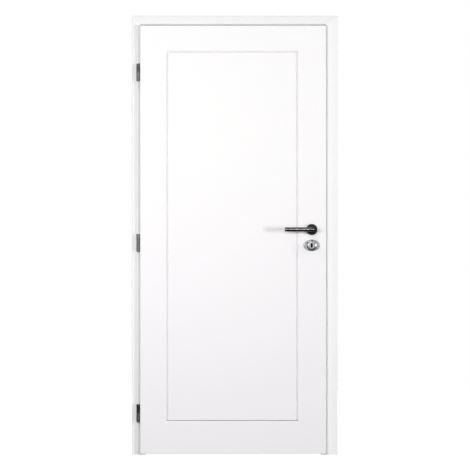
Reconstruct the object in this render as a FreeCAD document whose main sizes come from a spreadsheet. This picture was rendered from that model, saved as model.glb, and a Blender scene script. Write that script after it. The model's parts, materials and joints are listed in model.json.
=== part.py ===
import FreeCAD, Part
import math
import os
import re
import Sketcher

os.makedirs("parts", exist_ok=True)
doc = FreeCAD.newDocument("interior_door")

# Driving dimensions in millimetres and degrees
sizes = {
    "leaf_width": 860,
    "leaf_height": 1985,
    "leaf_thick": 40,
    "lip_width": 13,
    "lip_thick": 14.5,
    "skin_thick": 6,
    "skin_round": 1,
    "stile_width": 95,
    "rail_height": 90,
    "floor_gap": 5,
    "rebate_gap": 5,
    "lip_gap": 2,
    "wall_thick": 140,
    "jamb_thick": 22,
    "stop_width": 15,
    "seal_space": 5.5,
    "seal_width": 8,
    "seal_tongue": 3,
    "seal_tongue_depth": 5,
    "seal_clearance": 0.3,
    "casing_thick": 22,
    "casing_round": 3,
    "shade_width": 9,
    "shade_under_lip": 1,
    "shade_depth": 4.4,
    "head_shade_depth": 8,
    "hinge_strip": 38.5,
    "lock_strip": 55.5,
    "head_strip": 46.5,
    "back_casing_width": 60,
    "back_casing_thick": 16,
    "groove_from_hinge_edge": 124.4,
    "groove_from_lock_edge": 133.7,
    "groove_from_top": 122,
    "groove_from_bottom": 152,
    "groove_width": 10,
    "groove_depth": 4.6,
    "groove_flat": 3,
    "hinge_radius": 8,
    "hinge_edge_gap": 1.5,
    "hinge_knuckle": 40.5,
    "hinge_split": 0.6,
    "hinge_chamfer": 1,
    "hinge_pin_radius": 4.5,
    "hinge_pin_height": 30,
    "hinge_pin_play": 0.08,
    "hinge_pin_end_play": 1.5,
    "stud_radius": 4,
    "stud_depth_leaf": 38,
    "stud_depth_casing": 19,
    "top_hinge_drop": 217,
    "bottom_hinge_rise": 189,
    "handle_height": 1045,
    "backset": 52,
    "key_drop": 73.5,
    "rose_radius": 25.7,
    "rose_thick": 9,
    "rose_chamfer": 1.2,
    "lever_radius": 10,
    "lever_length": 125.5,
    "lever_projection": 50,
    "lever_tip_chamfer": 0.8,
    "lever_play": 0.5,
    "spindle_side": 8,
    "spindle_grip": 28,
    "spindle_hole_radius": 9,
    "plate_width": 74.5,
    "plate_height": 54,
    "plate_thick": 3,
    "boss_radius": 25,
    "boss_flat": 12,
    "boss_rim": 4.5,
    "boss_crown": 9,
    "key_slot_width": 8,
    "key_slot_height": 21,
    "key_slot_room": 1,
    "forend_width": 18,
    "forend_height": 235,
    "forend_thick": 3,
    "case_thick": 13,
    "case_height": 165,
    "case_depth": 75,
    "case_wall": 1.5,
    "bolt_thick": 10,
    "latch_height": 30,
    "dead_bolt_height": 36,
    "latch_length": 30,
    "dead_bolt_length": 38,
    "bolt_play": 0.3,
    "strike_width": 18,
    "strike_height": 170,
    "strike_thick": 2,
    "strike_play": 1,
    "strike_pocket": 16,
}

# Places worked out from the dimensions, in the frame whose origin is on the hinge jamb at the floor
places = {
    "rebate_left": "jamb_thick - stop_width",
    "leaf_left": "rebate_left + rebate_gap - lip_width",
    "leaf_right": "leaf_left + leaf_width",
    "block_left": "leaf_left + lip_width",
    "block_right": "leaf_right - lip_width",
    "rebate_right": "block_right + rebate_gap",
    "passage_right": "rebate_right - stop_width",
    "frame_right": "passage_right + jamb_thick",
    "stile_left": "leaf_left + stile_width",
    "stile_right": "leaf_right - stile_width",
    "wall_front": "-wall_thick / 2",
    "wall_back": "wall_thick / 2",
    "casing_front": "wall_front - casing_thick",
    "lip_back": "casing_front - lip_gap",
    "leaf_front": "lip_back - lip_thick",
    "leaf_back": "leaf_front + leaf_thick",
    "stop_front": "leaf_back + seal_space",
    "core_front": "leaf_front + skin_thick",
    "core_back": "leaf_back - skin_thick",
    "leaf_bottom": "floor_gap",
    "leaf_top": "leaf_bottom + leaf_height",
    "block_top": "leaf_top - lip_width",
    "rebate_top": "block_top + rebate_gap",
    "passage_top": "rebate_top - stop_width",
    "frame_top": "passage_top + jamb_thick",
    "casing_left": "leaf_left - hinge_strip",
    "casing_right": "leaf_right + lock_strip",
    "casing_top": "leaf_top + head_strip",
    "back_casing_left": "jamb_thick - back_casing_width",
    "back_casing_right": "passage_right + back_casing_width",
    "back_casing_top": "passage_top + back_casing_width",
    "groove_left": "leaf_left + groove_from_hinge_edge",
    "groove_right": "leaf_right - groove_from_lock_edge",
    "groove_top": "leaf_top - groove_from_top",
    "groove_bottom": "leaf_bottom + groove_from_bottom",
    "hinge_x": "leaf_left - hinge_edge_gap - hinge_radius",
    "hinge_y": "lip_back - lip_thick / 2",
    "top_hinge_z": "leaf_top - top_hinge_drop",
    "bottom_hinge_z": "leaf_bottom + bottom_hinge_rise",
    "middle_hinge_z": "(top_hinge_z + bottom_hinge_z) / 2",
    "handle_x": "block_right - backset",
    "key_z": "handle_height - key_drop",
    "lock_y": "(lip_back + leaf_back) / 2",
    "forend_z": "(handle_height + key_z) / 2",
    "forend_inner": "block_right - forend_thick",
}


def bound(formula):
    def cell(word):
        name = word.group()
        sheet = "dims." if name in sizes else "places." if name in places else ""
        return sheet + name
    return re.sub(r"[a-z][a-z_]*", cell, formula)


dims = doc.addObject("Spreadsheet::Sheet", "dims")
for row, (name, size) in enumerate(sizes.items(), start=1):
    dims.set(f"A{row}", name)
    dims.set(f"B{row}", str(size))
    dims.setAlias(f"B{row}", name)
places_sheet = doc.addObject("Spreadsheet::Sheet", "places")
for row, name in enumerate(places, start=1):
    places_sheet.set(f"A{row}", name)
    places_sheet.setAlias(f"B{row}", name)
for row, formula in enumerate(places.values(), start=1):
    local = bound(formula).replace("places.", "")
    places_sheet.set(f"B{row}", "=" + local)
doc.recompute()


def value(formula):
    return float(dims.evalExpression(bound(formula)))


def bind(item, **formulas):
    for prop, formula in formulas.items():
        item.setExpression(prop.replace("__", "."), bound(formula))


def board(label, x, y, z):
    """A rectangular board between two formulas on each axis."""
    box = doc.addObject("Part::Box", label)
    bind(box, Length=f"{x[1]} - ({x[0]})", Width=f"{y[1]} - ({y[0]})", Height=f"{z[1]} - ({z[0]})")
    bind(box, Placement__Base__x=x[0], Placement__Base__y=y[0], Placement__Base__z=z[0])
    return box


def new_body(label):
    return doc.addObject("PartDesign::Body", label)


def sketch_on(body, role, name, offset="0"):
    """A sketch on one of the body's own origin planes, moved along the plane's normal."""
    sketch = body.newObject("Sketcher::SketchObject", name)
    plane = next(item for item in body.Origin.OriginFeatures if item.Role == role)
    sketch.AttachmentSupport = [(plane, "")]
    sketch.MapMode = "FlatFace"
    bind(sketch, AttachmentOffset__Base__z=offset)
    return sketch


def fix_point(sketch, geometry, point, across, up):
    """Hold a point of the sketch at two formulas from the sketch's origin."""
    for kind, formula in (("DistanceX", across), ("DistanceY", up)):
        number = sketch.addConstraint(
            Sketcher.Constraint(kind, -1, 1, geometry, point, value(formula)))
        sketch.setExpression(f"Constraints[{number}]", bound(formula))


def outline(sketch, corners):
    """A closed polygon whose corners are pairs of formulas."""
    first = sketch.GeometryCount
    count = len(corners)
    points = [FreeCAD.Vector(value(across), value(up), 0) for across, up in corners]
    for index in range(count):
        sketch.addGeometry(Part.LineSegment(points[index], points[(index + 1) % count]), False)
    for index in range(count):
        following = first + (index + 1) % count
        sketch.addConstraint(Sketcher.Constraint("Coincident", first + index, 2, following, 1))
        fix_point(sketch, first + index, 1, *corners[index])


def rectangle(sketch, across, up):
    left, right = across
    low, high = up
    outline(sketch, [(left, low), (right, low), (right, high), (left, high)])


def circle(sketch, across, up, radius):
    centre = FreeCAD.Vector(value(across), value(up), 0)
    ring = sketch.addGeometry(Part.Circle(centre, FreeCAD.Vector(0, 0, 1), value(radius)), False)
    fix_point(sketch, ring, 3, across, up)
    number = sketch.addConstraint(Sketcher.Constraint("Radius", ring, value(radius)))
    sketch.setExpression(f"Constraints[{number}]", bound(radius))


def ellipse(sketch, across, up):
    """An ellipse round the sketch's origin from its half width and half height."""
    centre = FreeCAD.Vector(0, 0, 0)
    ring = sketch.addGeometry(Part.Ellipse(
        FreeCAD.Vector(value(across), 0, 0), FreeCAD.Vector(0, value(up), 0), centre), False)
    sketch.exposeInternalGeometry(ring)
    sketch.addConstraint(Sketcher.Constraint("Coincident", ring, 3, -1, 1))
    sketch.addConstraint(Sketcher.Constraint("Horizontal", ring + 1))
    for axis, half in ((ring + 1, across), (ring + 2, up)):
        number = sketch.addConstraint(Sketcher.Constraint("Distance", axis, 2 * value(half)))
        sketch.setExpression(f"Constraints[{number}]", bound(f"2 * ({half})"))


def upright_slot(sketch, across, up, width, height):
    """A slot with round ends that stands on end round its centre."""
    half = f"({width}) / 2"
    reach = f"(({height}) - ({width})) / 2"
    x, r = value(across), value(half)
    top, low = value(f"{up} + {reach}"), value(f"{up} - {reach}")
    normal = FreeCAD.Vector(0, 0, 1)
    head = Part.ArcOfCircle(Part.Circle(FreeCAD.Vector(x, top, 0), normal, r), 0, math.pi)
    foot = Part.ArcOfCircle(Part.Circle(FreeCAD.Vector(x, low, 0), normal, r), math.pi, 2 * math.pi)
    head = sketch.addGeometry(head, False)
    left = sketch.addGeometry(
        Part.LineSegment(FreeCAD.Vector(x - r, top, 0), FreeCAD.Vector(x - r, low, 0)), False)
    foot = sketch.addGeometry(foot, False)
    right = sketch.addGeometry(
        Part.LineSegment(FreeCAD.Vector(x + r, low, 0), FreeCAD.Vector(x + r, top, 0)), False)
    ring = ((head, 2, left, 1), (left, 2, foot, 1), (foot, 2, right, 1), (right, 2, head, 1))
    for before, end, after, start in ring:
        sketch.addConstraint(Sketcher.Constraint("Tangent", before, end, after, start))
    fix_point(sketch, head, 3, across, f"{up} + {reach}")
    fix_point(sketch, foot, 3, across, f"{up} - {reach}")
    number = sketch.addConstraint(Sketcher.Constraint("Radius", head, r))
    sketch.setExpression(f"Constraints[{number}]", bound(half))


def pad(body, sketch, length, reverse=False):
    feature = body.newObject("PartDesign::Pad", sketch.Name + "_pad")
    feature.Profile = sketch
    feature.Reversed = reverse
    bind(feature, Length=length)
    doc.recompute()
    return feature


def revolve(body, sketch, name):
    """Turn the sketch a full turn round its own upright axis."""
    feature = body.newObject("PartDesign::Revolution", name + "_turned")
    feature.Profile = sketch
    feature.ReferenceAxis = (sketch, ["V_Axis"])
    feature.Angle = 360
    doc.recompute()


def pocket(body, sketch, length, reverse=False):
    """Cut the sketch's area out of the body, and make sure that the cut takes something away."""
    before = body.Shape.Volume
    feature = body.newObject("PartDesign::Pocket", sketch.Name + "_pocket")
    feature.Profile = sketch
    feature.Reversed = reverse
    bind(feature, Length=length)
    doc.recompute()
    if not feature.Shape.Volume < before:
        raise ValueError(f"{sketch.Name} cuts nothing")
    return feature


def dress(body, kind, ending, wanted):
    """Add a fillet or chamfer to the edges of the body's last feature that the test picks."""
    base = body.Tip
    names = []
    for number, edge in enumerate(base.Shape.Edges, start=1):
        if wanted(edge, [vertex.Point for vertex in edge.Vertexes]):
            names.append(f"Edge{number}")
    if not names:
        raise ValueError(f"{body.Label} has no such edge")
    feature = body.newObject(kind, body.Name + ending)
    feature.Base = (base, names)
    return feature


def round_edges(body, radius, wanted):
    feature = dress(body, "PartDesign::Fillet", "_round", wanted)
    bind(feature, Radius=radius)
    doc.recompute()


def chamfer_edges(body, width, wanted):
    feature = dress(body, "PartDesign::Chamfer", "_chamfer", wanted)
    bind(feature, Size=width)
    doc.recompute()


def near(first, second):
    return abs(first - second) < 1e-4


# Lining: two jambs and the head, with a groove for the seal in the edge that stops the leaf


def seal_groove(clear, side, stop):
    """Corners of the groove, from the passage side of the lining to its other side."""
    centre = f"{clear} - {side} * stop_width / 2"
    nearer = f"{centre} + {side} * seal_tongue / 2"
    further = f"{centre} - {side} * seal_tongue / 2"
    bottom = f"{stop} + seal_tongue_depth"
    return [(nearer, stop), (nearer, bottom), (further, bottom), (further, stop)]


def upright_jamb(label, clear, outer, side):
    body = new_body(label)
    section = sketch_on(body, "XY_Plane", label + "_section")
    groove = seal_groove(clear, side, "stop_front")
    corners = [(clear, "wall_back"), (clear, "stop_front")] + groove
    corners += [(outer, "stop_front"), (outer, "wall_back")]
    outline(section, corners)
    pad(body, section, "passage_top")


upright_jamb("hinge_jamb", "jamb_thick", "0", 1)
upright_jamb("lock_jamb", "passage_right", "frame_right", -1)

head_jamb = new_body("head_jamb")
head_section = sketch_on(head_jamb, "YZ_Plane", "head_jamb_section")
head_corners = [("wall_back", "passage_top"), ("stop_front", "passage_top")]
head_corners += [(y, z) for z, y in seal_groove("passage_top", -1, "stop_front")]
head_corners += [("stop_front", "frame_top"), ("wall_back", "frame_top")]
outline(head_section, head_corners)
pad(head_jamb, head_section, "frame_right")

# Front casing, whose thick inner part is the rebate that the leaf shuts into


def mitre(body, name, offset, corners, length):
    """Cut away what lies beyond the mitre, seen from the front."""
    cut = sketch_on(body, "XZ_Plane", name, offset)
    outline(cut, corners)
    pocket(body, cut, length)


def upright_casing(label, inner, outer, side):
    body = new_body(label)
    section = sketch_on(body, "XY_Plane", label + "_section")
    shoulder = "0" if side < 0 else "frame_right"
    outline(section, [
        (inner, "casing_front"), (inner, "stop_front"), (shoulder, "stop_front"),
        (shoulder, "wall_front"), (outer, "wall_front"), (outer, "casing_front")])
    pad(body, section, "casing_top")
    x, y = value(outer), value("casing_front")
    round_edges(body, "casing_round", lambda edge, ends: len(ends) == 2 and all(
        near(end.x, x) and near(end.y, y) for end in ends))
    corners = [(inner, "rebate_top"), (outer, "casing_top"), (inner, "casing_top")]
    mitre(body, label + "_mitre", "-casing_front", corners, "stop_front - casing_front")
    return body


def shade_groove(body, across, up, depth):
    """A groove in the casing's face close beside the leaf, which shows as a dark line."""
    cut = sketch_on(body, "XZ_Plane", body.Name + "_shade", "-casing_front")
    rectangle(cut, across, up)
    pocket(body, cut, depth)


hinge_side_casing = upright_casing("hinge_side_casing", "rebate_left", "casing_left", -1)
lock_side_casing = upright_casing("lock_side_casing", "rebate_right", "casing_right", 1)
shade_groove(
    hinge_side_casing, ("leaf_left - shade_width", "leaf_left + shade_under_lip"),
    ("0", "leaf_top"), "shade_depth")
shade_groove(
    lock_side_casing, ("leaf_right - shade_under_lip", "leaf_right + shade_width"),
    ("0", "leaf_top"), "shade_depth")

head_casing = new_body("head_casing")
head_casing_section = sketch_on(head_casing, "YZ_Plane", "head_casing_section", "casing_left")
outline(head_casing_section, [
    ("casing_front", "rebate_top"), ("stop_front", "rebate_top"), ("stop_front", "frame_top"),
    ("wall_front", "frame_top"), ("wall_front", "casing_top"), ("casing_front", "casing_top")])
pad(head_casing, head_casing_section, "casing_right - casing_left")
round_edges(head_casing, "casing_round", lambda edge, ends: len(ends) == 2 and all(
    near(end.z, value("casing_top")) and near(end.y, value("casing_front")) for end in ends))
for name, inner, outer in (
        ("left", "rebate_left", "casing_left"), ("right", "rebate_right", "casing_right")):
    below = [(inner, "rebate_top"), (outer, "casing_top"), (outer, "rebate_top")]
    mitre(head_casing, f"head_casing_{name}_mitre", "-casing_front", below, "stop_front - casing_front")
shade_groove(
    head_casing, ("leaf_left", "leaf_right"),
    ("leaf_top - shade_under_lip", "leaf_top + shade_width"), "head_shade_depth")

# Back casing, plain mitred boards round the passage


def back_upright(label, inner, outer):
    body = new_body(label)
    section = sketch_on(body, "XY_Plane", label + "_section")
    rectangle(section, (inner, outer), ("wall_back", "wall_back + back_casing_thick"))
    pad(body, section, "back_casing_top")
    x, y = value(outer), value("wall_back + back_casing_thick")
    round_edges(body, "casing_round", lambda edge, ends: len(ends) == 2 and all(
        near(end.x, x) and near(end.y, y) for end in ends))
    corners = [(inner, "passage_top"), (outer, "back_casing_top"), (inner, "back_casing_top")]
    mitre(body, label + "_mitre", "-wall_back", corners, "back_casing_thick")


back_upright("back_hinge_side_casing", "jamb_thick", "back_casing_left")
back_upright("back_lock_side_casing", "passage_right", "back_casing_right")

back_head = new_body("back_head_casing")
back_head_section = sketch_on(back_head, "YZ_Plane", "back_head_section", "back_casing_left")
rectangle(
    back_head_section, ("wall_back", "wall_back + back_casing_thick"), ("passage_top", "back_casing_top"))
pad(back_head, back_head_section, "back_casing_right - back_casing_left")
round_edges(back_head, "casing_round", lambda edge, ends: len(ends) == 2 and all(
    near(end.z, value("back_casing_top"))
    and near(end.y, value("wall_back + back_casing_thick")) for end in ends))
for name, inner, outer in (
        ("left", "jamb_thick", "back_casing_left"), ("right", "passage_right", "back_casing_right")):
    below = [(inner, "passage_top"), (outer, "back_casing_top"), (outer, "passage_top")]
    mitre(back_head, f"back_head_{name}_mitre", "-wall_back", below, "back_casing_thick")

# Seals: a tongue in the lining's groove and a soft lip just short of the leaf


def seal_corners(clear, side):
    centre = f"{clear} - {side} * stop_width / 2"
    lip = "leaf_back + seal_clearance"
    return [
        (f"{centre} + {side} * seal_width / 2", "stop_front"),
        (f"{centre} + {side} * seal_width / 3", lip),
        (f"{centre} - {side} * seal_width / 3", lip),
        (f"{centre} - {side} * seal_width / 2", "stop_front"),
        (f"{centre} - {side} * seal_tongue / 2", "stop_front"),
        (f"{centre} - {side} * seal_tongue / 2", "stop_front + seal_tongue_depth"),
        (f"{centre} + {side} * seal_tongue / 2", "stop_front + seal_tongue_depth"),
        (f"{centre} + {side} * seal_tongue / 2", "stop_front")]


for label, clear, side in (("hinge_side_seal", "jamb_thick", 1), ("lock_side_seal", "passage_right", -1)):
    seal = new_body(label)
    section = sketch_on(seal, "XY_Plane", label + "_section")
    outline(section, seal_corners(clear, side))
    pad(seal, section, "passage_top")
head_seal = new_body("head_seal")
head_seal_section = sketch_on(head_seal, "YZ_Plane", "head_seal_section", "jamb_thick")
outline(head_seal_section, [(y, z) for z, y in seal_corners("passage_top", -1)])
pad(head_seal, head_seal_section, "passage_right - jamb_thick")

# Leaf: stiles with the rebated lip, rails, core, and two skins with one routed rectangle each


def stile(label, edge, block, inner):
    body = new_body(label)
    section = sketch_on(body, "XY_Plane", label + "_section", "leaf_bottom")
    outline(section, [
        (edge, "core_front"), (inner, "core_front"), (inner, "core_back"),
        (block, "core_back"), (block, "lip_back"), (edge, "lip_back")])
    pad(body, section, "leaf_height")
    notch = sketch_on(body, "XZ_Plane", label + "_notch", "-lip_back")
    rectangle(notch, (block, inner), ("block_top", "leaf_top"))
    pocket(body, notch, "core_back - lip_back")
    return body


hinge_stile = stile("hinge_stile", "leaf_left", "block_left", "stile_left")
lock_stile = stile("lock_stile", "leaf_right", "block_right", "stile_right")

top_rail = new_body("top_rail")
rail_section = sketch_on(top_rail, "YZ_Plane", "top_rail_section", "stile_left")
outline(rail_section, [
    ("core_front", "leaf_top - rail_height"), ("core_back", "leaf_top - rail_height"),
    ("core_back", "block_top"), ("lip_back", "block_top"),
    ("lip_back", "leaf_top"), ("core_front", "leaf_top")])
pad(top_rail, rail_section, "stile_right - stile_left")
core_y = ("core_front", "core_back")
board("bottom_rail", ("stile_left", "stile_right"), core_y, ("leaf_bottom", "leaf_bottom + rail_height"))
board("core", ("stile_left", "stile_right"), core_y, ("leaf_bottom + rail_height", "leaf_top - rail_height"))


def routed_rectangle(body, label, face, inward):
    """A shallow V groove with a flat bottom and mitred corners."""
    path = sketch_on(body, "XZ_Plane", label + "_groove_path", f"-({face})")
    rectangle(path, ("groove_left", "groove_right"), ("groove_bottom", "groove_top"))
    section = sketch_on(body, "XY_Plane", label + "_groove_section", "(groove_bottom + groove_top) / 2")
    proud = f"{face} - {inward}"
    bottom = f"{face} + {inward} * groove_depth"
    outline(section, [
        ("groove_left - groove_width / 2", proud), ("groove_left - groove_width / 2", face),
        ("groove_left - groove_flat / 2", bottom), ("groove_left + groove_flat / 2", bottom),
        ("groove_left + groove_width / 2", face), ("groove_left + groove_width / 2", proud)])
    doc.recompute()
    groove = body.newObject("PartDesign::SubtractivePipe", label + "_groove")
    groove.Profile = section
    groove.Spine = path
    groove.Transition = "Right corner"
    doc.recompute()


def handle_holes(body, label, front, depth):
    """The spindle's hole and the key's slot, cut through from the front."""
    holes = sketch_on(body, "XZ_Plane", label + "_holes", f"-({front})")
    circle(holes, "handle_x", "handle_height", "spindle_hole_radius")
    upright_slot(
        holes, "handle_x", "key_z", "key_slot_width + key_slot_room", "key_slot_height + key_slot_room")
    pocket(body, holes, depth)


front_skin = new_body("front_skin")
front_sheet = sketch_on(front_skin, "XZ_Plane", "front_skin_outline", "-core_front")
rectangle(front_sheet, ("leaf_left", "leaf_right"), ("leaf_bottom", "leaf_top"))
pad(front_skin, front_sheet, "skin_thick")
round_edges(front_skin, "skin_round", lambda edge, ends: all(
    near(end.y, value("leaf_front")) for end in ends))
routed_rectangle(front_skin, "front_skin", "leaf_front", 1)
handle_holes(front_skin, "front_skin", "leaf_front", "skin_thick")

back_skin = new_body("back_skin")
back_sheet = sketch_on(back_skin, "XZ_Plane", "back_skin_outline", "-leaf_back")
rectangle(back_sheet, ("block_left", "block_right"), ("leaf_bottom", "block_top"))
pad(back_skin, back_sheet, "skin_thick")
routed_rectangle(back_skin, "back_skin", "leaf_back", -1)
handle_holes(back_skin, "back_skin", "core_back", "skin_thick")

# Lock: a case and forend let into the lock stile, with both bolts drawn back


handle_holes(lock_stile, "lock_stile", "core_front", "core_back - core_front")
mortise = sketch_on(lock_stile, "YZ_Plane", "lock_mortise", "forend_inner")
rectangle(
    mortise, ("lock_y - case_thick / 2", "lock_y + case_thick / 2"),
    ("forend_z - case_height / 2", "forend_z + case_height / 2"))
pocket(lock_stile, mortise, "case_depth")
for body in (lock_stile, back_skin):
    forend_seat = sketch_on(body, "YZ_Plane", body.Name + "_forend_seat", "block_right")
    upright_slot(forend_seat, "lock_y", "forend_z", "forend_width", "forend_height")
    pocket(body, forend_seat, "forend_thick")

case_y = ("lock_y - case_thick / 2", "lock_y + case_thick / 2")
case_z = ("forend_z - case_height / 2", "forend_z + case_height / 2")
lock_case = new_body("lock_case")
case_block = sketch_on(lock_case, "YZ_Plane", "case_block", "forend_inner")
rectangle(case_block, case_y, case_z)
pad(lock_case, case_block, "case_depth", True)
case_room = sketch_on(lock_case, "YZ_Plane", "case_room", "forend_inner")
rectangle(
    case_room, ("lock_y - case_thick / 2 + case_wall", "lock_y + case_thick / 2 - case_wall"),
    ("forend_z - case_height / 2 + case_wall", "forend_z + case_height / 2 - case_wall"))
pocket(lock_case, case_room, "case_depth - case_wall")
case_holes = sketch_on(lock_case, "XZ_Plane", "case_holes", "-(lock_y - case_thick / 2)")
circle(case_holes, "handle_x", "handle_height", "spindle_side / sqrt(2) + lever_play")
upright_slot(case_holes, "handle_x", "key_z", "key_slot_width", "key_slot_height")
pocket(lock_case, case_holes, "case_thick")

forend = new_body("lock_forend")
forend_outline = sketch_on(forend, "YZ_Plane", "forend_outline", "block_right")
upright_slot(forend_outline, "lock_y", "forend_z", "forend_width", "forend_height")
pad(forend, forend_outline, "forend_thick", True)
bolts = (
    ("latch_bolt", "handle_height", "latch_height", "latch_length"),
    ("dead_bolt", "key_z", "dead_bolt_height", "dead_bolt_length"))
for label, centre, height, length in bolts:
    way = sketch_on(forend, "YZ_Plane", label + "_way", "block_right")
    rectangle(
        way, ("lock_y - bolt_thick / 2 - bolt_play", "lock_y + bolt_thick / 2 + bolt_play"),
        (f"{centre} - {height} / 2 - bolt_play", f"{centre} + {height} / 2 + bolt_play"))
    pocket(forend, way, "forend_thick")
    board(
        label, (f"block_right - {length}", "block_right"),
        ("lock_y - bolt_thick / 2", "lock_y + bolt_thick / 2"),
        (f"{centre} - {height} / 2", f"{centre} + {height} / 2"))

# Strike plate, let into the rebate of the lock side casing opposite the forend

strike_y = ("lock_y - strike_width / 2", "lock_y + strike_width / 2")
strike_z = ("forend_z - strike_height / 2", "forend_z + strike_height / 2")
strike = new_body("strike_plate")
strike_outline = sketch_on(strike, "YZ_Plane", "strike_outline", "rebate_right")
rectangle(strike_outline, strike_y, strike_z)
pad(strike, strike_outline, "strike_thick")
strike_seat = sketch_on(lock_side_casing, "YZ_Plane", "strike_seat", "rebate_right")
rectangle(strike_seat, strike_y, strike_z)
pocket(lock_side_casing, strike_seat, "strike_thick", True)
for label, centre, height, length in bolts:
    room_y = ("lock_y - bolt_thick / 2 - strike_play", "lock_y + bolt_thick / 2 + strike_play")
    room_z = (f"{centre} - {height} / 2 - strike_play", f"{centre} + {height} / 2 + strike_play")
    keep = sketch_on(strike, "YZ_Plane", label + "_keep", "rebate_right")
    rectangle(keep, room_y, room_z)
    pocket(strike, keep, "strike_thick", True)
    room = sketch_on(lock_side_casing, "YZ_Plane", label + "_room", "rebate_right")
    rectangle(room, room_y, room_z)
    pocket(lock_side_casing, room, "strike_pocket", True)

# Hinges: the upper knuckle turns with the leaf on a pin that stands in the frame's knuckle


def knuckle(body, label, corners):
    section = sketch_on(body, "XZ_Plane", label + "_section")
    outline(section, corners)
    revolve(body, section, label)


def stud(body, label, role, middle, depth, start):
    """The stud by which a knuckle is screwed into the wood."""
    section = sketch_on(body, role, label + "_stud", start)
    circle(section, "0", middle, "stud_radius")
    pad(body, section, depth, role == "XZ_Plane")


inside = "(hinge_pin_radius + hinge_pin_play + hinge_radius) / 2"
for which in ("top", "middle", "bottom"):
    frame_part = new_body(f"{which}_hinge_frame_part")
    knuckle(frame_part, f"{which}_frame_knuckle", [
        ("0", "-hinge_knuckle"), ("hinge_radius - hinge_chamfer", "-hinge_knuckle"),
        ("hinge_radius", "hinge_chamfer - hinge_knuckle"), ("hinge_radius", "-hinge_split / 2"),
        ("hinge_pin_radius", "-hinge_split / 2"), ("hinge_pin_radius", "hinge_pin_height"),
        ("0", "hinge_pin_height")])
    stud(
        frame_part, f"{which}_frame", "XZ_Plane", "-hinge_knuckle / 2",
        f"casing_front - hinge_y + stud_depth_casing - ({inside})", f"-({inside})")
    leaf_part = new_body(f"{which}_hinge_leaf_part")
    bore = "hinge_pin_radius + hinge_pin_play"
    bore_end = "hinge_pin_height + hinge_pin_end_play"
    knuckle(leaf_part, f"{which}_leaf_knuckle", [
        (bore, "hinge_split / 2"), ("hinge_radius", "hinge_split / 2"),
        ("hinge_radius", "hinge_knuckle - hinge_chamfer"),
        ("hinge_radius - hinge_chamfer", "hinge_knuckle"), ("0", "hinge_knuckle"),
        ("0", bore_end), (bore, bore_end)])
    stud(
        leaf_part, f"{which}_leaf", "YZ_Plane", "hinge_knuckle / 2",
        f"leaf_left - hinge_x + stud_depth_leaf - ({inside})", inside)
    for part in (frame_part, leaf_part):
        bind(part, Placement__Base__x="hinge_x", Placement__Base__y="hinge_y")
        bind(part, Placement__Base__z=f"{which}_hinge_z")


def stud_holes(body, role, offset, across, middle, depth, reverse):
    holes = sketch_on(body, role, body.Name + "_stud_holes", offset)
    for which in ("top", "middle", "bottom"):
        circle(holes, across, f"{which}_hinge_z {middle}", "stud_radius")
    pocket(body, holes, depth, reverse)


for body in (hinge_stile, front_skin):
    stud_holes(body, "YZ_Plane", "leaf_left", "hinge_y", "+ hinge_knuckle / 2", "stud_depth_leaf", True)
stud_holes(
    hinge_side_casing, "XZ_Plane", "-casing_front", "hinge_x", "- hinge_knuckle / 2",
    "stud_depth_casing", False)

# Handle set: round roses and oval key plates on both faces, and levers on one square spindle


def turned(body, label, corners):
    """A solid turned round the body's Y axis from half of its section."""
    section = sketch_on(body, "XY_Plane", label + "_section")
    outline(section, corners)
    revolve(body, section, label)


def seat(item, face, height):
    """Put a fitting on one face of the leaf, over the spindle or the key, turned over on the back."""
    item.Placement.Rotation = FreeCAD.Rotation(FreeCAD.Vector(1, 0, 0), 180 if face == "leaf_back" else 0)
    bind(item, Placement__Base__x="handle_x", Placement__Base__y=face, Placement__Base__z=height)


def rose(label, face):
    body = new_body(label)
    bore = "lever_radius + lever_play"
    turned(body, label, [
        (bore, "0"), ("rose_radius", "0"), ("rose_radius", "rose_chamfer - rose_thick"),
        ("rose_radius - rose_chamfer", "-rose_thick"), (bore, "-rose_thick")])
    seat(body, face, "handle_height")


def lever(label, face):
    """A round tube with a mitred elbow, whose neck turns in the rose and sits on the square spindle."""
    body = new_body(label)
    line = sketch_on(body, "XY_Plane", label + "_line")
    corners = [("0", "-lever_play"), ("0", "-lever_projection"), ("-lever_length", "-lever_projection")]
    points = [FreeCAD.Vector(value(across), value(up), 0) for across, up in corners]
    neck = line.addGeometry(Part.LineSegment(points[0], points[1]), False)
    grip = line.addGeometry(Part.LineSegment(points[1], points[2]), False)
    line.addConstraint(Sketcher.Constraint("Coincident", neck, 2, grip, 1))
    fix_point(line, neck, 1, *corners[0])
    fix_point(line, grip, 1, *corners[1])
    fix_point(line, grip, 2, *corners[2])
    section = sketch_on(body, "XZ_Plane", label + "_section", "lever_play")
    circle(section, "0", "0", "lever_radius")
    doc.recompute()
    tube = body.newObject("PartDesign::AdditivePipe", label + "_tube")
    tube.Profile = section
    tube.Spine = line
    tube.Transition = "Right corner"
    doc.recompute()
    tip = -value("lever_length")
    chamfer_edges(body, "lever_tip_chamfer", lambda edge, ends: all(near(end.x, tip) for end in ends))
    socket = sketch_on(body, "XZ_Plane", label + "_socket", "lever_play")
    half = "spindle_side / 2"
    rectangle(socket, (f"-{half}", half), (f"-{half}", half))
    pocket(body, socket, "spindle_grip - lever_play", True)
    seat(body, face, "handle_height")


def key_plate(label, face):
    """An oval plate with a round boss that slopes up to a flat middle round the key's slot."""
    body = new_body(label)
    oval = sketch_on(body, "XZ_Plane", label + "_oval")
    ellipse(oval, "plate_width / 2", "plate_height / 2")
    pad(body, oval, "plate_thick")
    turned(body, label, [
        ("0", "0"), ("boss_radius", "0"), ("boss_radius", "-boss_rim"),
        ("boss_flat", "-boss_crown"), ("0", "-boss_crown")])
    slot = sketch_on(body, "XZ_Plane", label + "_slot", "boss_crown")
    upright_slot(slot, "0", "0", "key_slot_width", "key_slot_height")
    pocket(body, slot, "boss_crown")
    seat(body, face, "key_z")


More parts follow.
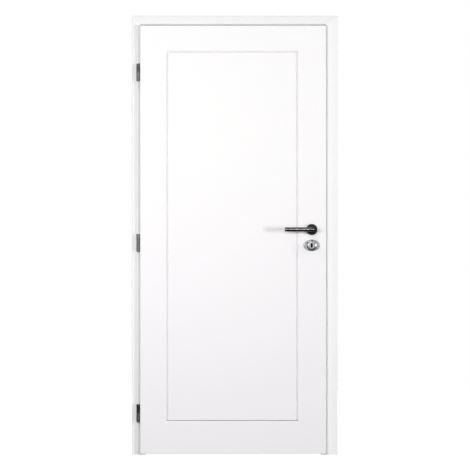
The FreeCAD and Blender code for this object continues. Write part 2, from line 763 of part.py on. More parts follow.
for place, face in (("front", "leaf_front"), ("back", "leaf_back")):
    rose(f"{place}_rose", face)
    lever(f"{place}_lever", face)
    key_plate(f"{place}_key_plate", face)
board(
    "spindle", ("handle_x - spindle_side / 2", "handle_x + spindle_side / 2"),
    ("leaf_front - spindle_grip", "leaf_back + spindle_grip"),
    ("handle_height - spindle_side / 2", "handle_height + spindle_side / 2"))

# Check every object, then write each sub-part to its own file

doc.recompute()
pieces = [
    "hinge_jamb", "lock_jamb", "head_jamb", "hinge_side_casing", "lock_side_casing", "head_casing",
    "back_hinge_side_casing", "back_lock_side_casing", "back_head_casing",
    "hinge_side_seal", "lock_side_seal", "head_seal", "strike_plate",
    "top_hinge_frame_part", "middle_hinge_frame_part", "bottom_hinge_frame_part",
    "front_skin", "back_skin", "hinge_stile", "lock_stile", "top_rail", "bottom_rail", "core",
    "lock_case", "lock_forend", "latch_bolt", "dead_bolt",
    "top_hinge_leaf_part", "middle_hinge_leaf_part", "bottom_hinge_leaf_part",
    "front_rose", "back_rose", "front_key_plate", "back_key_plate",
    "front_lever", "back_lever", "spindle"]
for item in doc.Objects:
    if "Invalid" in item.State or "Error" in item.State:
        raise ValueError(f"{item.Name} failed: {item.State}")
for piece in pieces:
    item = doc.getObject(piece)
    item.Label = piece
    if item.Shape.isNull() or not item.Shape.isValid():
        raise ValueError(f"{piece} has no valid shape")
    if len(item.Shape.Solids) != 1:
        raise ValueError(f"{piece} has {len(item.Shape.Solids)} solids")
    item.Shape.exportStep(f"parts/{piece}.step")
    print(f"{piece}: {item.Shape.Volume / 1000:.1f} cm3")
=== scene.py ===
# White interior door with its frame, three hinges, a black lever handle and a silver key plate.
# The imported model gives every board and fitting; this script gives the finishes, the turned
# metalwork, the small hardware, the light and the camera.
import json
import math

import bmesh
import bpy
from mathutils import Matrix, Vector


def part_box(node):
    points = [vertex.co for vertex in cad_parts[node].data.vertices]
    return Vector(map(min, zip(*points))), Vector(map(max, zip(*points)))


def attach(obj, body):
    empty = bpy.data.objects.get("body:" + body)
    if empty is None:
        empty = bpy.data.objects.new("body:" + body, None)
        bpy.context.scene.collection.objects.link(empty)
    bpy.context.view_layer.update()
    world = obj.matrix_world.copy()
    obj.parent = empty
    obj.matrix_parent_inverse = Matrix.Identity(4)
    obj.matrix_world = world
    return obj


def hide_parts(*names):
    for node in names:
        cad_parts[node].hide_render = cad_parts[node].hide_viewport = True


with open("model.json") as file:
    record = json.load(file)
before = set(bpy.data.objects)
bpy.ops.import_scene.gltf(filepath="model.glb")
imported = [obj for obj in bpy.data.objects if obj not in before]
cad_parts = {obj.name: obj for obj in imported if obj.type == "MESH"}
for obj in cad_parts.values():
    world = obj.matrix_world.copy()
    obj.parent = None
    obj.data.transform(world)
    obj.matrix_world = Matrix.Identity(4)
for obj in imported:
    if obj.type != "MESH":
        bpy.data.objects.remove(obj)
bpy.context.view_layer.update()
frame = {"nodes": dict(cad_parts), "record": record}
nodes = frame["nodes"]
bothSides = ("front", "back")
print("frame loaded:", len(nodes), "nodes")


# The middle of a box, and half its size, along X, Y and Z
def middleOf(box):
    return [0.5 * (low + high) for low, high in zip(*box)]


def halfOf(box):
    return [0.5 * (high - low) for low, high in zip(*box)]


# Shader maths: a wire is one output of a node, and sums of wires become Math nodes
class Wire:
    def __init__(self, finish, socket):
        self.finish = finish
        self.socket = socket

    def __add__(self, other):
        return self.finish.maths("ADD", self, other)

    def __sub__(self, other):
        return self.finish.maths("SUBTRACT", self, other)

    def __rsub__(self, other):
        return self.finish.maths("SUBTRACT", other, self)

    def __mul__(self, other):
        return self.finish.maths("MULTIPLY", self, other)

    __radd__ = __add__
    __rmul__ = __mul__


# The nodes of one material, or of the world, and the wires between them
class Finish:
    def __init__(self, name, world=False):
        self.owner = bpy.data.worlds.new(name) if world else bpy.data.materials.new(name)
        self.owner.use_nodes = True
        self.tree = self.owner.node_tree
        self.tree.nodes.clear()
        self.last = self.tree.nodes.new("ShaderNodeOutputWorld" if world else "ShaderNodeOutputMaterial")

    def node(self, kind, settings, sockets, output=0):
        made = self.tree.nodes.new(kind)
        for key, value in settings.items():
            setattr(made, key, value)
        for key, value in sockets.items():
            self.join(value, made.inputs[key])
        return Wire(self, made.outputs[output])

    def join(self, value, socket):
        if isinstance(value, Wire):
            self.tree.links.new(value.socket, socket)
        elif socket.type == "RGBA":
            socket.default_value = (*value, 1)
        else:
            socket.default_value = value

    def maths(self, operation, first, second):
        return self.node("ShaderNodeMath", {"operation": operation}, {0: first, 1: second})

    # The point on the piece, in metres, with a stretch that draws a pattern out along an axis
    def place(self, stretch=(1, 1, 1)):
        spot = self.node("ShaderNodeTexCoord", {}, {}, "Object")
        return self.node("ShaderNodeMapping", {}, {"Vector": spot, "Scale": stretch})

    def noise(self, spot, scale, detail):
        return self.node("ShaderNodeTexNoise", {}, {"Vector": spot, "Scale": scale, "Detail": detail})

    # From one range to another, cut off at its ends; most of a noise lies between 0.3 and 0.7
    def spread(self, wire, low, high, fromLow=0.3, fromHigh=0.7):
        return self.node(
            "ShaderNodeMapRange", {}, {0: wire, 1: fromLow, 2: fromHigh, 3: low, 4: high})

    def blendOf(self, factor, first, second):
        return self.node(
            "ShaderNodeMix", {"data_type": "RGBA"}, {"Factor": factor, 6: first, 7: second}, 2)

    def axes(self, spot):
        split = self.node("ShaderNodeSeparateXYZ", {}, {0: spot})
        return [Wire(self, output) for output in split.socket.node.outputs]

    def offFrom(self, wire, middle):
        return self.node("ShaderNodeMath", {"operation": "ABSOLUTE"}, {0: wire - middle})

    def within(self, wire, middle, half):
        return self.maths("LESS_THAN", self.offFrom(wire, middle), half)

    # A relief whose height is in metres
    def bump(self, height):
        return self.node("ShaderNodeBump", {}, {"Height": height, "Distance": 1.0, "Strength": 1.0})

    def surface(self, sockets):
        return self.ended(self.node("ShaderNodeBsdfPrincipled", {}, sockets))

    def ended(self, shader):
        self.join(shader, self.last.inputs["Surface"])
        return self.owner


# Satin lacquer, sprayed: fine orange peel, and a white that drifts to its second tone in clouds and, as
# painted light and shade, with the height above the floor, from foot to head; a mark is a mask with a
# tone of its own, each a painted shade or a painted highlight
lacquerLook = {
    "cloudScale": 1.7, "peelScale": 420.0, "peelHeight": 0.00004, "grainScale": 2600.0,
    "grainHeight": 0.000006, "roughLow": 0.46, "roughHigh": 0.54, "roughScale": 24.0, "level": 0.36}
frameWhites = {
    "white": (0.822, 0.820, 0.821), "drift": (0.834, 0.832, 0.831), "cloudShare": 1.0,
    "foot": 0.0, "head": 2.0}
# Painted shade: the leaf's white turns darker and more lilac towards the foot
leafWhiteAndFootShade = {
    "white": (0.858, 0.831, 0.863), "drift": (0.873, 0.863, 0.857), "cloudShare": 0.3,
    "foot": 0.1, "head": 1.4}


def lacquer(name, look, whites, marks=()):
    paint = Finish(name)
    spot = paint.place()
    cloud = paint.spread(paint.noise(spot, look["cloudScale"], detail=4.0), 0.0, 1.0)
    height = paint.spread(paint.axes(spot)[2], 0.0, 1.0, whites["foot"], whites["head"])
    share = whites["cloudShare"]
    tone = paint.blendOf(cloud * share + height * (1.0 - share), whites["white"], whites["drift"])
    for maskOf, mark in marks:
        tone = paint.blendOf(maskOf(paint, spot, mark), tone, mark["tone"])
    peel = paint.noise(spot, look["peelScale"], detail=1.5) * look["peelHeight"]
    grain = paint.noise(spot, look["grainScale"], detail=2.0) * look["grainHeight"]
    rough = paint.noise(spot, look["roughScale"], detail=5.0)
    return paint.surface({
        "Base Color": tone, "Roughness": paint.spread(rough, look["roughLow"], look["roughHigh"]),
        "Normal": paint.bump(peel + grain), "Specular IOR Level": look["level"]})


# The routed rectangle, painted shade: darker from one depth to another under the leaf's nearer face,
# inside its border; at its foot the upper wall is a painted shade darker still, and the lower one a
# painted highlight
routedLineShade = {"from": 0.0004, "full": 0.0030, "border": 0.060, "tone": (0.790, 0.778, 0.790)}
footLineShade = dict(routedLineShade, foot=0.1592, half=0.0030, tone=(0.46, 0.45, 0.46))
footLineHighlight = dict(routedLineShade, foot=0.1532, half=0.0030, tone=(0.97, 0.97, 0.97))


def routedLines(paint, spot, lines):
    front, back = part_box("front_skin"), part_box("back_skin")
    across, depth, up = paint.axes(spot)
    halfThick = 0.5 * (back[1].y - front[0].y)
    off = paint.offFrom(depth, 0.5 * (front[0].y + back[1].y))
    sunk = paint.spread(halfThick - off, 0.0, 1.0, lines["from"], lines["full"])
    wide = paint.within(across, middleOf(front)[0], halfOf(front)[0] - lines["border"])
    tall = paint.within(up, middleOf(front)[2], halfOf(front)[2] - lines["border"])
    return sunk * wide * tall


def footLine(paint, spot, lines):
    up = paint.axes(spot)[2]
    return routedLines(paint, spot, lines) * paint.within(up, lines["foot"], lines["half"])


# The casing round the leaf: each board has its own white as painted light and shade, the head darker and
# the uprights lighter towards the foot, and its own tone at the bottom of the narrow gap beside the
# closed leaf, painted shade at the hinge and head and painted light at the lock
gapShadingLook = {"from": 0.0004, "full": 0.0020, "off": 0.0045, "half": 0.0060}
casingGapShading = {
    "hinge": dict(gapShadingLook, side="hinge", off=-0.0015, half=0.0032, tone=(0.60, 0.60, 0.60)),
    "head": dict(gapShadingLook, side="head", tone=(0.62, 0.62, 0.62)),
    "lock": dict(gapShadingLook, side="lock", tone=(0.95, 0.95, 0.95))}
casingLitAndShadedWhites = {
    "hinge": dict(frameWhites, white=(0.935, 0.935, 0.936), cloudShare=0.3, foot=0.1, head=1.7),
    "head": dict(frameWhites, white=(0.788, 0.787, 0.788), drift=(0.800, 0.799, 0.800)),
    "lock": dict(
        frameWhites, white=(0.880, 0.880, 0.881), drift=(0.815, 0.814, 0.815), cloudShare=0.3,
        foot=0.0, head=1.0)}


def shadingBesideLeaf(paint, spot, gap):
    low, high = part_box("front_skin")
    across, depth, up = paint.axes(spot)
    way, edge = {"hinge": (across, low.x), "lock": (across, high.x), "head": (up, high.z)}[gap["side"]]
    sunk = paint.spread(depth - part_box("head_casing")[0].y, 0.0, 1.0, gap["from"], gap["full"])
    return sunk * paint.within(way, edge + gap["off"], gap["half"])


def casingShadedLacquer(side):
    return lacquer(
        f"{side}CasingShadedLacquer", lacquerLook, casingLitAndShadedWhites[side], ((shadingBesideLeaf, casingGapShading[side]),))


# Raw board inside the leaf: flakes of two wood tones pressed together
boardLook = {
    "pale": (0.62, 0.49, 0.33), "dark": (0.40, 0.28, 0.17), "stretch": (1, 1, 0.35), "flakeScale": 160.0,
    "dustScale": 900.0, "flakeShare": 0.6, "dustShare": 0.5, "flakeHeight": 0.0004, "roughness": 0.88}


def rawBoard(name, look):
    wood = Finish(name)
    spot = wood.place(look["stretch"])
    flake = wood.node(
        "ShaderNodeTexVoronoi", {"feature": "F1"}, {"Vector": spot, "Scale": look["flakeScale"]})
    speckle = wood.noise(spot, look["dustScale"], detail=3.0)
    dark = wood.spread(flake * look["flakeShare"] + speckle * look["dustShare"], 0.0, 1.0)
    return wood.surface({
        "Base Color": wood.blendOf(dark, look["pale"], look["dark"]), "Roughness": look["roughness"],
        "Normal": wood.bump(flake * look["flakeHeight"])})


# Soft white seal with the faint drag marks of its extrusion, drawn out along its run
sealLook = {
    "white": (0.74, 0.74, 0.72), "soiled": (0.66, 0.66, 0.64), "cloudScale": 14.0, "dragScale": 700.0,
    "dragHeight": 0.00003, "roughLow": 0.62, "roughHigh": 0.76, "upright": (1, 1, 0.01),
    "across": (0.01, 1, 1)}


def sealRubber(name, look, along):
    rubber = Finish(name)
    drag = rubber.noise(rubber.place(look[along]), look["dragScale"], detail=2.0)
    cloud = rubber.noise(rubber.place(), look["cloudScale"], detail=3.0)
    return rubber.surface({
        "Base Color": rubber.blendOf(rubber.spread(cloud, 0.0, 1.0), look["white"], look["soiled"]),
        "Roughness": rubber.spread(drag, look["roughLow"], look["roughHigh"]),
        "Normal": rubber.bump(drag * look["dragHeight"])})


# Bare metal: lines counted along X, Y and Z, long where the count is low, and patches of wear
hingeLook = {
    "tone": (0.155, 0.155, 0.158), "worn": (0.110, 0.110, 0.113), "lines": (260.0, 260.0, 5200.0),
    "lineHeight": 0.000012, "patchScale": 45.0, "roughLow": 0.52, "roughHigh": 0.66}
# Painted shade: darker copies of the hinge metal, for the top knuckle on the leaf and both bottom
# knuckles, the bottom leaf knuckle darkest
hingeShade = dict(hingeLook, tone=(0.095, 0.095, 0.098), worn=(0.070, 0.070, 0.072))
hingeDeepShade = dict(hingeLook, tone=(0.030, 0.030, 0.031), worn=(0.022, 0.022, 0.023))
sheetLook = {
    "tone": (0.58, 0.58, 0.58), "worn": (0.47, 0.47, 0.48), "lines": (4200.0, 4200.0, 60.0),
    "lineHeight": 0.000015, "patchScale": 45.0, "roughLow": 0.28, "roughHigh": 0.40}
plateLook = {
    "tone": (0.29, 0.29, 0.295), "worn": (0.25, 0.25, 0.255), "lines": (1500.0, 1500.0, 1500.0),
    "lineHeight": 0.000003, "patchScale": 45.0, "roughLow": 0.30, "roughHigh": 0.36}


def bareMetal(name, look):
    metal = Finish(name)
    lines = metal.noise(metal.place(look["lines"]), 1.0, detail=2.0)
    patch = metal.noise(metal.place(), look["patchScale"], detail=4.0)
    return metal.surface({
        "Base Color": metal.blendOf(metal.spread(patch, 0.0, 1.0), look["tone"], look["worn"]),
        "Metallic": 1.0,
        "Roughness": metal.spread(lines * 0.5 + patch * 0.5, look["roughLow"], look["roughHigh"]),
        "Normal": metal.bump(lines * look["lineHeight"])})


# Black fittings: dark satin metal with a fine grain; the grip is a paler copy of it, a painted sheen,
# and smoother where it is held
blackLook = {
    "tone": (0.016, 0.016, 0.017), "grainTone": (0.022, 0.022, 0.023), "grainScale": 1900.0,
    "grainHeight": 0.000006, "rubbedScale": 60.0, "roughLow": 0.28, "roughHigh": 0.36}
gripSheenLook = dict(
    blackLook, tone=(0.056, 0.056, 0.058), grainTone=(0.064, 0.064, 0.066), grainHeight=0.000001,
    roughLow=0.10, roughHigh=0.13)


def blackMetal(name, look):
    metal = Finish(name)
    grain = metal.noise(metal.place(), look["grainScale"], detail=3.0)
    rubbed = metal.noise(metal.place(), look["rubbedScale"], detail=3.0)
    mottle = metal.spread(grain * 0.5 + rubbed * 0.5, 0.0, 1.0)
    return metal.surface({
        "Base Color": metal.blendOf(mottle, look["tone"], look["grainTone"]), "Metallic": 1.0,
        "Roughness": metal.spread(rubbed, look["roughLow"], look["roughHigh"]),
        "Normal": metal.bump(grain * look["grainHeight"])})


# A near-black finish: painted shade for the dark inside of the lock seen through the key's slot, and the
# black of the hinge washers
hollowLook = {
    "deepBlack": (0.010, 0.010, 0.011), "speckle": (0.028, 0.027, 0.026), "mottleScale": 300.0, "roughLow": 0.7,
    "roughHigh": 0.9}


def darkHollow(name, look):
    hollow = Finish(name)
    deepBlack = hollow.noise(hollow.place(), look["mottleScale"], detail=3.0)
    return hollow.surface({
        "Base Color": hollow.blendOf(deepBlack, look["deepBlack"], look["speckle"]),
        "Roughness": hollow.spread(deepBlack, look["roughLow"], look["roughHigh"])})


finishes = {
    "white_lacquer": lacquer("frameLacquer", lacquerLook, frameWhites),
    "core_board": rawBoard("rawBoard", boardLook),
    "seal_rubber": sealRubber("sealUpright", sealLook, "upright"),
    "hinge_steel": bareMetal("mattNickel", hingeLook),
    "lock_steel": bareMetal("satinZinc", sheetLook),
    "black_metal": blackMetal("satinBlack", blackLook),
    "silver_plate": bareMetal("satinSilver", plateLook)}
# The leaf's lacquer carries painted shade in its routed lines, and painted shade and a painted highlight
# at the foot line
leafLacquerPaintedShading = lacquer("leafLacquerPaintedShading", lacquerLook, leafWhiteAndFootShade, (
    (routedLines, routedLineShade), (footLine, footLineShade), (footLine, footLineHighlight)))
leafBoards = ("front_skin", "back_skin", "hinge_stile", "lock_stile", "top_rail", "bottom_rail")

# Nodes whose finish differs from that of their slot
ownFinish = {
    "head_seal": sealRubber("sealAcross", sealLook, "across"),
    "hinge_side_casing": casingShadedLacquer("hinge"),
    "head_casing": casingShadedLacquer("head"),
    "lock_side_casing": casingShadedLacquer("lock"),
    # Painted shade: the top and bottom knuckles take darker copies of the hinge metal
    "top_hinge_leaf_part": bareMetal("mattNickelShade", hingeShade),
    "bottom_hinge_frame_part": bareMetal("mattNickelFootShade", hingeShade),
    "bottom_hinge_leaf_part": bareMetal("mattNickelDeepShade", hingeDeepShade)}
for board in leafBoards:
    ownFinish[board] = leafLacquerPaintedShading
gripMetal = blackMetal("satinGrip", gripSheenLook)
washerBlackAndShade = darkHollow("washerBlackAndLockShade", hollowLook)

for row in frame["record"]["subparts"]:
    name = row["node"]
    nodes[name].data.materials.clear()
    nodes[name].data.materials.append(ownFinish.get(name, finishes[row["material_slot"]]))


# Modelling by hand: turned forms, cutters and their places
handwork = {"merge": 0.000001, "smoothBelow": math.radians(32)}


def clearSelection():
    if bpy.context.object and bpy.context.object.mode != "OBJECT":
        bpy.ops.object.mode_set(mode="OBJECT")
    bpy.ops.object.select_all(action="DESELECT")


def pickOnly(piece):
    clearSelection()
    piece.select_set(True)
    bpy.context.view_layer.objects.active = piece


# The last steps of each new piece: its place goes into its mesh, and its faces point outwards
def settle(piece, name, finish, body):
    pickOnly(piece)
    bpy.ops.object.transform_apply(location=True, rotation=True, scale=True)
    bpy.ops.object.mode_set(mode="EDIT")
    bpy.ops.mesh.select_all(action="SELECT")
    bpy.ops.mesh.remove_doubles(threshold=handwork["merge"])
    bpy.ops.mesh.normals_make_consistent(inside=False)
    bpy.ops.object.mode_set(mode="OBJECT")
    bpy.ops.object.shade_smooth_by_angle(angle=handwork["smoothBelow"])
    piece.name = name
    piece.data.name = name
    piece.data.materials.clear()
    piece.data.materials.append(finish)
    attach(piece, body)


def pullOut(x, y, z):
    bpy.ops.mesh.extrude_region_move(TRANSFORM_OT_translate={"value": (x, y, z)})


# A form turned round its own Z axis: each ring (radius, height) is extruded from the last
def turned(rings, sides):
    clearSelection()
    radius, height = rings[0]
    bpy.ops.mesh.primitive_circle_add(
        vertices=sides, radius=radius, fill_type="NGON", location=(0, 0, height))
    piece = bpy.context.object
    bpy.ops.object.transform_apply(location=True)
    bpy.ops.object.mode_set(mode="EDIT")
    bpy.ops.mesh.select_all(action="SELECT")
    for (before, low), (after, high) in zip(rings, rings[1:]):
        pullOut(0, 0, high - low)
        if after != before:
            grow = after / before
            bpy.ops.transform.resize(value=(grow, grow, 1), center_override=(0, 0, high))
    bpy.ops.mesh.select_all(action="SELECT")
    bpy.ops.mesh.normals_make_consistent(inside=False)
    bpy.ops.object.mode_set(mode="OBJECT")
    return piece


def joined(pieces):
    pickOnly(pieces[0])
    for piece in pieces:
        piece.select_set(True)
    bpy.ops.object.join()
    return bpy.context.object


def cutAway(piece, cutter):
    pickOnly(piece)
    cut = piece.modifiers.new("cut", "BOOLEAN")
    cut.operation = "DIFFERENCE"
    cut.solver = "EXACT"
    cut.object = cutter
    bpy.ops.object.modifier_apply(modifier=cut.name)
    bpy.data.objects.remove(cutter)


# Turn a form from its Z axis to the way that a side of the leaf looks, and set it on that face,
# which is the box's inner side
def setOn(piece, side, box, height):
    turn, face = (90, box[1].y) if side == "front" else (-90, box[0].y)
    place = Matrix.Translation((middleOf(box)[0], face, height))
    piece.matrix_world = place @ Matrix.Rotation(math.radians(turn), 4, "X")


# Roses: a round cover with a soft edge, a fine groove round the collar and a bore for the neck
roseLook = {
    "sides": 96, "edge": 0.0022, "steps": 5, "rim": 0.0006, "collar": 0.0135, "grooveWide": 0.0006,
    "grooveSlope": 0.0003, "grooveDeep": 0.0004, "bore": 0.0106, "boreEdge": 0.0006, "sink": 0.001}


def roseRings(radius, thick, look):
    edge, steps = look["edge"], look["steps"]
    rings = [(radius, 0.0), (radius, thick - edge)]
    for step in range(1, steps + 1):
        angle = math.radians(90) * step / steps
        rings.append((radius - edge + edge * math.cos(angle), thick - edge + edge * math.sin(angle)))
    collar, slope, floor = look["collar"], look["grooveSlope"], thick - look["grooveDeep"]
    groove = collar + look["grooveWide"]
    bore, boreEdge = look["bore"], look["boreEdge"]
    return rings + [
        (radius - edge - look["rim"], thick), (groove + 3 * slope, thick), (groove + slope, thick),
        (groove, floor), (collar, floor), (collar - slope, thick),
        (bore + boreEdge, thick), (bore, thick - boreEdge), (bore, look["sink"])]


for side in bothSides:
    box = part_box(f"{side}_rose")
    rose = turned(roseRings(halfOf(box)[0], box[1].y - box[0].y, roseLook), roseLook["sides"])
    setOn(rose, side, box, middleOf(box)[2])
    settle(rose, f"{side}RoseCover", finishes["black_metal"], "leaf")
    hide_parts(f"{side}_rose")
print("roses turned")


# Levers: neck and grip in one tube that meet in a mitre, with a softly rounded end
leverLook = {
    "sides": 64, "neckStart": 0.0005, "mitreStay": 0.0018, "mitreEdge": 0.0007, "mitreSteps": 3,
    "endRound": 0.0014, "endTurns": (30, 60, 80)}


# The neck rises along Z and the grip runs towards -X; a ring on each side keeps the mitre crisp
def leverTube(radius, reach, projection, look):
    clearSelection()
    bpy.ops.mesh.primitive_circle_add(
        vertices=look["sides"], radius=radius, fill_type="NGON", location=(0, 0, 0))
    tube = bpy.context.object
    bpy.ops.object.mode_set(mode="EDIT")
    bpy.ops.mesh.select_all(action="SELECT")
    bpy.ops.transform.translate(value=(0, 0, look["neckStart"]))
    stay, stretch = look["mitreStay"], math.sqrt(2)
    below = (0, 0, projection - stay)
    pullOut(0, 0, below[2] - look["neckStart"])
    bpy.ops.transform.rotate(value=math.radians(45), orient_axis="Y", center_override=below)
    bpy.ops.transform.resize(value=(stretch, 1, stretch), center_override=below)
    pullOut(0, 0, stay)
    pullOut(-stay, 0, 0)
    straight = reach - look["endRound"]
    pullOut(2 * stay - straight, 0, 0)
    bpy.ops.transform.resize(value=(0, 1, 1), center_override=(stay - straight, 0, projection))
    pullOut(-stay, 0, 0)
    size, place = radius, 0.0
    for turnBy in look["endTurns"]:
        angle = math.radians(turnBy)
        wanted = radius - look["endRound"] * (1 - math.cos(angle))
        step = look["endRound"] * math.sin(angle) - place
        pullOut(-step, 0, 0)
        place += step
        middle = (-straight - place, 0, projection)
        bpy.ops.transform.resize(value=(1, wanted / size, wanted / size), center_override=middle)
        size = wanted
    softenMitre(tube, projection, look)
    bpy.ops.object.mode_set(mode="OBJECT")
    return tube


# The mitre's ring is where a point's height over the grip's middle equals its X
def softenMitre(tube, projection, look):
    bpy.ops.mesh.select_all(action="DESELECT")
    mesh = bmesh.from_edit_mesh(tube.data)
    for edge in mesh.edges:
        offs = [abs(end.co.z - projection - end.co.x) for end in edge.verts]
        edge.select = max(offs) < handwork["merge"]
    bmesh.update_edit_mesh(tube.data)
    bpy.ops.mesh.bevel(offset=look["mitreEdge"], segments=look["mitreSteps"], affect="EDGES")


for side in bothSides:
    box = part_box(f"{side}_lever")
    radius = halfOf(box)[2]
    reach = box[1].x - radius - box[0].x
    projection = box[1].y - box[0].y - radius + leverLook["neckStart"]
    lever = leverTube(radius, reach, projection, leverLook)
    setOn(lever, side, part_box(f"{side}_rose"), middleOf(box)[2])
    settle(lever, f"{side}LeverTube", gripMetal, "lever")
    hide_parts(f"{side}_lever")
print("levers bent")


# Key plates: an oval base with a rolled rim and a groove, a round boss, and a slot through both.
# The rim's rings are shares of the edge (inwards, below the face). The boss slopes ease inwards step
# by step (width, degrees) to a cap nearly flat round the slot, whose rings are shares of its radius
plateForm = {
    "sides": 120, "thick": 0.003, "edge": 0.0016, "inset": 0.0042, "groove": 0.0006,
    "rim": ((0.0, 1.0), (0.2, 0.45), (0.6, 0.1), (1.0, 0.0), (1.4, 0.0)),
    "boss": 0.0249, "bossFoot": 0.0031,
    "slopes": (
        (0.0005, 50), (0.0010, 43), (0.0018, 37), (0.0020, 33), (0.0018, 29), (0.0010, 22),
        (0.0008, 13), (0.0008, 6)),
    "cap": (0.92, 0.82, 0.70, 0.56, 0.40, 0.22, 0.02),
    "slotWidth": 0.0094, "slotHeight": 0.0232, "slotSides": 32, "cutDepth": 0.04}


def ovalBase(halfWide, halfHigh, form):
    edge, thick = form["edge"], form["thick"]
    inner = halfHigh - form["inset"]
    rings = [(halfHigh, 0.0)]
    for inwards, under in form["rim"]:
        rings.append((halfHigh - inwards * edge, thick - under * edge))
    rings += [(inner, thick), (inner - form["groove"], thick - form["groove"])]
    base = turned(rings, form["sides"])
    base.scale = (halfWide / halfHigh, 1, 1)
    pickOnly(base)
    bpy.ops.object.transform_apply(location=False, rotation=False, scale=True)
    return base


def bossRings(crown, form):
    radius, height = form["boss"], form["bossFoot"]
    rings = [(radius, 0.0), (radius, height)]
    for width, slope in form["slopes"]:
        radius -= width
        height += width * math.tan(math.radians(slope))
        rings.append((radius, height))
    for share in form["cap"]:
        rings.append((radius * share, height + (crown - height) * (1 - share ** 2)))
    return rings


# A key slot's shape: a round bar whose two halves are moved apart
def slotBar(width, height, depth):
    clearSelection()
    bpy.ops.mesh.primitive_cylinder_add(
        vertices=plateForm["slotSides"], radius=width / 2, depth=depth, location=(0, 0, 0))
    bar = bpy.context.object
    apart = 0.5 * (height - width)
    bpy.ops.object.mode_set(mode="EDIT")
    mesh = bmesh.from_edit_mesh(bar.data)
    for vertex in mesh.verts:
        if abs(vertex.co.y) > handwork["merge"]:
            vertex.co.y += math.copysign(apart, vertex.co.y)
    bmesh.update_edit_mesh(bar.data)
    bpy.ops.object.mode_set(mode="OBJECT")
    return bar


for side in bothSides:
    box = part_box(f"{side}_key_plate")
    halfWide, halfThick, halfHigh = halfOf(box)
    base = ovalBase(halfWide, halfHigh, plateForm)
    boss = turned(bossRings(2 * halfThick, plateForm), plateForm["sides"])
    for part in (base, boss):
        cutAway(part, slotBar(plateForm["slotWidth"], plateForm["slotHeight"], plateForm["cutDepth"]))
    plate = joined([base, boss])
    setOn(plate, side, box, middleOf(box)[2])
    settle(plate, f"{side}KeyPlate", finishes["silver_plate"], "leaf")
    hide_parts(f"{side}_key_plate")
print("key plates turned and cut")


# A dark throat inside each plate's slot, sunk a little below the plate's face: painted shade, a
# near-black sleeve where the slot's walls fall into shade
throatLook = {"wall": 0.0004, "sink": 0.0007, "height": 0.0082}
for side in bothSides:
    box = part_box(f"{side}_key_plate")
    wide, high = plateForm["slotWidth"], plateForm["slotHeight"]
    throat = slotBar(wide, high, throatLook["height"])
    room = 2 * throatLook["wall"]
    cutAway(throat, slotBar(wide - room, high - room, plateForm["cutDepth"]))
    setOn(throat, side, box, middleOf(box)[2])
    inset = box[1].y - box[0].y - throatLook["sink"] - 0.5 * throatLook["height"]
    outwards = Matrix.Translation((0, -inset if side == "front" else inset, 0))
    throat.matrix_world = outwards @ throat.matrix_world
    settle(throat, f"{side}KeyThroatShade", washerBlackAndShade, "leaf")


# Painted shade: a near-black prism for the lock's dark inside, which closes the view through the key's
# slot
guideLook = {"width": 0.0079, "height": 0.0209, "behindFace": 0.0005}
keyMiddle = middleOf(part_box("front_key_plate"))
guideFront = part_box("front_skin")[0].y + guideLook["behindFace"]
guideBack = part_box("back_skin")[1].y - guideLook["behindFace"]
guide = slotBar(guideLook["width"], guideLook["height"], guideBack - guideFront)
guidePlace = Matrix.Translation((keyMiddle[0], 0.5 * (guideFront + guideBack), keyMiddle[2]))
guide.matrix_world = guidePlace @ Matrix.Rotation(math.radians(90), 4, "X")
settle(guide, "keyGuideShade", washerBlackAndShade, "leaf")
print("key guide in the lock")


# Hinge washers: a thin dished disc that shows as a dark line in the split between the two knuckles
washerLook = {
    "sides": 48, "outer": 0.0077, "inner": 0.0046, "thick": 0.0005, "dish": 0.0002, "drop": 0.00055,
    "pinBehind": 0.008}
washerRings = [
    (washerLook["outer"], 0.0), (washerLook["outer"], washerLook["thick"]),
    (washerLook["inner"], washerLook["thick"]), (washerLook["inner"], washerLook["dish"])]
for which in ("top", "middle", "bottom"):
    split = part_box(f"{which}_hinge_leaf_part")[0].z
    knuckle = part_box(f"{which}_hinge_frame_part")
    washer = turned(washerRings, washerLook["sides"])
    pin = (middleOf(knuckle)[0], knuckle[0].y + washerLook["pinBehind"])
    washer.matrix_world = Matrix.Translation((*pin, split - washerLook["drop"]))
    settle(washer, f"{which}HingeWasher", washerBlackAndShade, "frame")
print("washers in the hinges")


# Countersunk screws with a hexagon socket, in the lock's forend and in the strike plate
screwLook = {
    "sides": 32, "head": 0.0042, "under": 0.0008, "edgeRise": 0.00008, "flat": 0.0034, "rise": 0.0002,
    "inner": 0.00216, "socket": 0.0016, "socketSides": 6, "socketDepth": 0.002,
    "forendInset": 0.011, "strikeInset": 0.008}


def screw(name, place, turn, body, look):
    head = turned([
        (look["head"], -look["under"]), (look["head"], look["edgeRise"]),
        (look["flat"], look["rise"]), (look["inner"], look["rise"])], look["sides"])
    clearSelection()
    bpy.ops.mesh.primitive_cylinder_add(
        vertices=look["socketSides"], radius=look["socket"], depth=look["socketDepth"])
    cutAway(head, bpy.context.object)
    head.matrix_world = Matrix.Translation(place) @ Matrix.Rotation(math.radians(turn), 4, "Y")
    settle(head, name, finishes["lock_steel"], body)


forend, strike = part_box("lock_forend"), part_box("strike_plate")
for plateName, box, face, turn, body in (
        ("forend", forend, forend[1].x, 90, "leaf"), ("strike", strike, strike[0].x, -90, "frame")):
    inset = screwLook[f"{plateName}Inset"]
    for end, height in (("Low", box[0].z + inset), ("High", box[1].z - inset)):
        screw(f"{plateName}Screw{end}", (face, middleOf(box)[1], height), turn, body, screwLook)
print("screws set")


# Studio: a pale floor that looks nearly white to the camera, and a dim sky that the camera and
# glossy faces see as white
studio = {
    "floorSize": 13.0, "floorTone": (0.21, 0.21, 0.21), "floorGlow": 0.945, "white": (1, 1, 1),
    "skyTone": (0.985, 0.99, 1.0), "skyLight": 0.195, "doorMiddle": (0.43, -0.10, 1.02)}

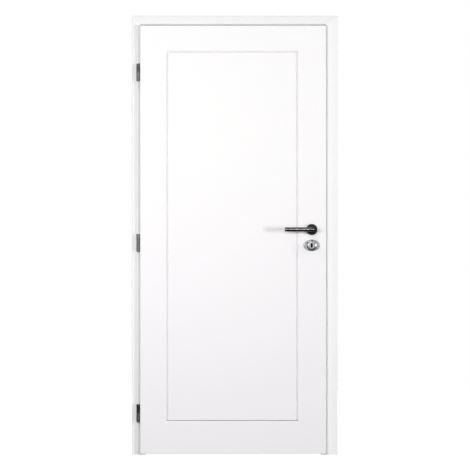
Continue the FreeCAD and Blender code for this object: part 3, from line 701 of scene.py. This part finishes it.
clearSelection()
bpy.ops.mesh.primitive_plane_add(size=studio["floorSize"], location=(studio["doorMiddle"][0], 0.0, 0.0))
floor = bpy.context.object
floor.name = "studioFloor"
ground = Finish("paleFloor")
bounce = ground.node("ShaderNodeBsdfDiffuse", {}, {"Color": studio["floorTone"]})
seen = ground.node("ShaderNodeLightPath", {}, {}, "Is Camera Ray")
glow = ground.node(
    "ShaderNodeEmission", {}, {"Color": studio["white"], "Strength": seen * studio["floorGlow"]})
floor.data.materials.append(ground.ended(ground.node("ShaderNodeAddShader", {}, {0: bounce, 1: glow})))

sky = Finish("studioWorld", world=True)
dim = sky.node(
    "ShaderNodeBackground", {}, {"Color": studio["skyTone"], "Strength": studio["skyLight"]})
bright = sky.node("ShaderNodeBackground", {}, {"Color": studio["white"], "Strength": 1.0})
seen = sky.node("ShaderNodeLightPath", {}, {}, "Is Camera Ray")
mirrored = sky.node("ShaderNodeLightPath", {}, {}, "Is Glossy Ray")
either = sky.maths("MAXIMUM", seen, mirrored)
bpy.context.scene.world = sky.ended(sky.node("ShaderNodeMixShader", {}, {0: either, 1: dim, 2: bright}))

# The key is a tall strip far to the right; a low fill and a high one soften it, a small lamp draws
# the shine along the grip, and a fill and a strip light the back
lamps = {
    "keyStrip": {"from": (8.10, -4.70, 1.05), "size": (1.00, 1.90), "watts": 424.0},
    "frontFill": {"from": (-1.10, -3.30, 1.45), "size": (2.00, 0.50), "watts": 60.5},
    "skyFill": {"from": (-2.50, -4.60, 9.60), "size": (3.00, 1.40), "watts": 198.0},
    "gripLight": {"from": (0.82, -4.40, 1.97), "size": (0.28, 0.42), "watts": 26.5},
    "backFill": {"from": (-0.90, 5.40, 1.60), "size": (2.40, 1.60), "watts": 168.0},
    "backStrip": {"from": (3.60, 4.20, 1.30), "size": (0.90, 1.90), "watts": 48.0}}
for name, lamp in lamps.items():
    light = bpy.data.lights.new(name, "AREA")
    light.shape = "RECTANGLE"
    light.size, light.size_y = lamp["size"]
    light.energy = lamp["watts"]
    holder = bpy.data.objects.new(name, light)
    bpy.context.scene.collection.objects.link(holder)
    holder.location = lamp["from"]
    aim = Vector(studio["doorMiddle"]) - Vector(lamp["from"])
    holder.rotation_euler = aim.to_track_quat("-Z", "Y").to_euler()
print("studio lit")


# Camera square to the door, as far off as a long lens stands; the span is what its frame takes in
view = {"span": 2.178, "away": 14.0, "sensor": 36.0, "reach": 200.0, "middle": (0.4383, 1.0195)}
camera = bpy.data.cameras.new("camera")
camera.sensor_width = view["sensor"]
camera.lens = view["sensor"] * view["away"] / view["span"]
camera.clip_end = view["reach"]
eye = bpy.data.objects.new("camera", camera)
bpy.context.scene.collection.objects.link(eye)
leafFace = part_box("front_skin")[0].y
eye.location = (view["middle"][0], leafFace - view["away"], view["middle"][1])
eye.rotation_euler = (math.radians(90), 0, 0)
bpy.context.scene.camera = eye

bpy.context.scene.view_settings.view_transform = "Standard"
